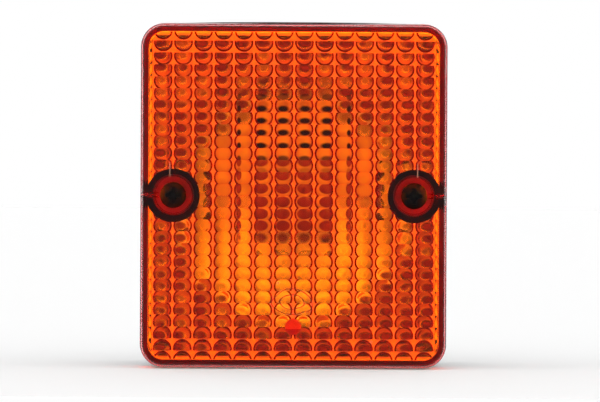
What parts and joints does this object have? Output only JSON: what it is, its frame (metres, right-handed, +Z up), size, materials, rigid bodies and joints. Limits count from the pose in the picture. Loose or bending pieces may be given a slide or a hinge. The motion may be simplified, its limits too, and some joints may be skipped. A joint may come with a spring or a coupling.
{
  "type": "vehicle indicator lamp",
  "caption": "Rectangular amber indicator lamp: lens with pillow optics on a black housing, with reflector, bayonet bulb, cable grommet and rear studs",
  "frame": {"origin": "centre of the rear mounting plane, the back of the rubber pad, at half the lens height", "axes": "+Z up, +Y out of the back of the lamp along the studs, the lens faces -Y, +X to the right as seen from in front"},
  "size_m": [0.0944, 0.068, 0.1063],
  "materials": {
    "amber_lens": "moulded clear amber acrylic, pillow optics inside, smooth outside",
    "black_housing": "moulded black plastic, fine grain",
    "black_rubber": "matt black rubber",
    "blackened_steel": "blackened steel, satin",
    "plated_steel": "bright zinc plate",
    "metallised": "vacuum-metallised plastic",
    "spring_steel": "drawn wire",
    "phenolic": "brown phenolic sheet",
    "brass": "plain brass",
    "clear_glass": "clear blown glass",
    "black_glass": "black vitreous insulator",
    "solder": "dull solder",
    "tungsten": "grey drawn wire"
  },
  "bodies": {
    "root": {"lens": "amber_lens", "housing": "black_housing", "lens_gasket": "black_rubber", "screw_seal_left": "black_rubber", "screw_seal_right": "black_rubber", "base_pad": "black_rubber", "cable_grommet": "black_rubber", "lens_screw_left": "blackened_steel", "lens_screw_right": "blackened_steel", "mounting_stud_left": "plated_steel", "mounting_stud_right": "plated_steel", "holder_shell": "plated_steel", "holder_bracket": "plated_steel", "holder_screw_left": "plated_steel", "holder_screw_right": "plated_steel", "reflector": "metallised", "holder_spring": "spring_steel", "holder_carriage": "phenolic", "holder_insulator": "phenolic", "holder_contact": "brass", "live_terminal": "brass", "earth_terminal": "brass", "bulb_cap": "brass", "thread_insert_left": "brass", "thread_insert_right": "brass", "bulb_glass": "clear_glass", "bulb_stem": "clear_glass", "bulb_cap_insulator": "black_glass", "bulb_contact": "solder", "bulb_filament": "tungsten", "bulb_lead_wires": "tungsten"}
  },
  "joints": []
}
